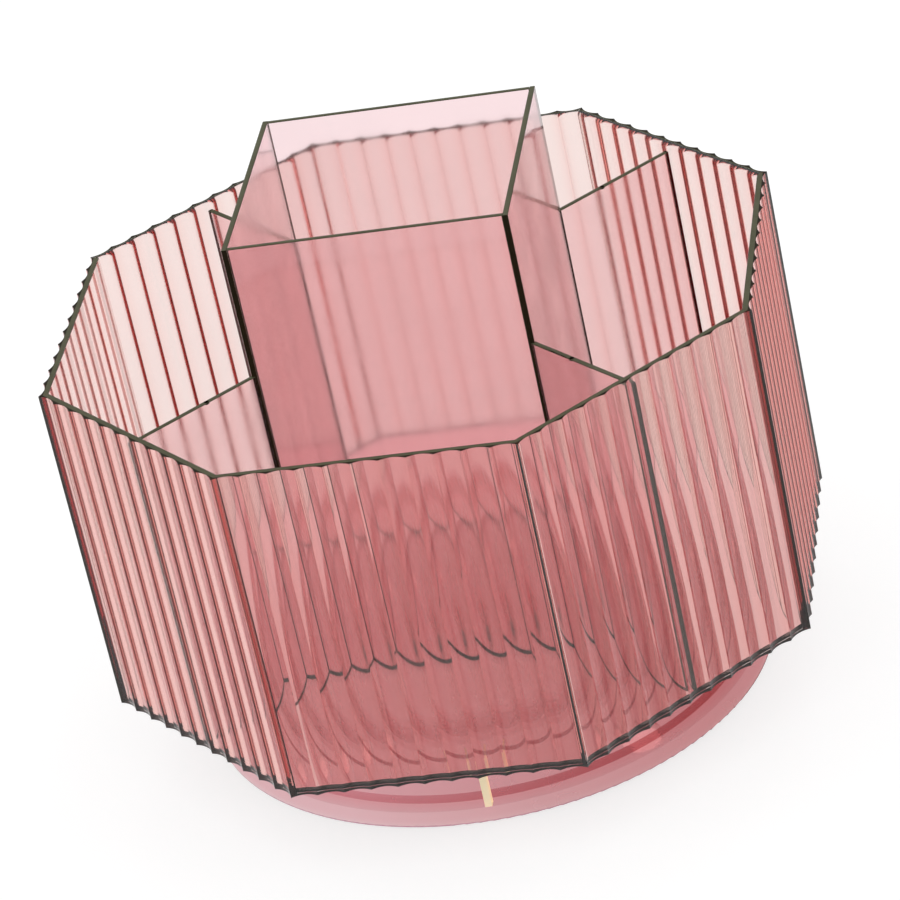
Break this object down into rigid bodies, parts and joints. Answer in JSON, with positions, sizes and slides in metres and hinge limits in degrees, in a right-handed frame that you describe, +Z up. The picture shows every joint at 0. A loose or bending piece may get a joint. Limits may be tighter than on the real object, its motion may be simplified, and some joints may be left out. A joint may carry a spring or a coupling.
{
  "type": "rotating pen holder",
  "caption": "Octagonal see-through pen holder with fluted walls, a tall square tower and divided bins, turning freely on a low round base.",
  "frame": {"origin": "centre of the footprint, on the turning axis, at desk level", "axes": "+Z up along the turning axis, -Y towards the front, +X to the right"},
  "size_m": [0.1494, 0.1494, 0.1237],
  "materials": {
    "fluted_sheet": "clear tinted, fluted outside, polished inside",
    "plain_sheet": "clear tinted, polished",
    "moulded_base": "clear tinted, moulded, glossy",
    "cage": "clear tinted",
    "balls": "polished",
    "washer": "satin",
    "screw": "plated",
    "foot": "soft, matt"
  },
  "bodies": {
    "holder": {"wall_right": "fluted_sheet", "wall_back_right": "fluted_sheet", "wall_back": "fluted_sheet", "wall_back_left": "fluted_sheet", "wall_left": "fluted_sheet", "wall_front_left": "fluted_sheet", "wall_front": "fluted_sheet", "wall_front_right": "fluted_sheet", "floor_plate": "plain_sheet", "tower_right": "plain_sheet", "tower_back": "plain_sheet", "tower_left": "plain_sheet", "tower_front": "plain_sheet", "divider_back_right": "plain_sheet", "divider_back_left": "plain_sheet", "divider_front_left": "plain_sheet", "divider_front_right": "plain_sheet", "upper_race": "moulded_base", "pivot_stud": "moulded_base", "retaining_washer": "washer", "retaining_screw": "screw"},
    "ball_ring": {"ball_cage": "cage", "bearing_balls": "balls"},
    "base": {"drum": "moulded_base", "base_plate": "moulded_base", "lower_race": "moulded_base", "foot_back_right": "foot", "foot_back_left": "foot", "foot_front_left": "foot", "foot_front_right": "foot"}
  },
  "joints": [
    {"name": "turntable_spin", "type": "hinge", "parent": "base", "child": "holder", "pos_m": [0, 0, 0.0182], "axis": [0, 0, 1], "continuous": true},
    {"name": "ball_ring_spin", "type": "hinge", "parent": "base", "child": "ball_ring", "pos_m": [0, 0, 0.0182], "axis": [0, 0, 1], "continuous": true}
  ],
  "couplings": [
    {"joint": "ball_ring_spin", "follows": "turntable_spin", "ratio": 0.5}
  ]
}
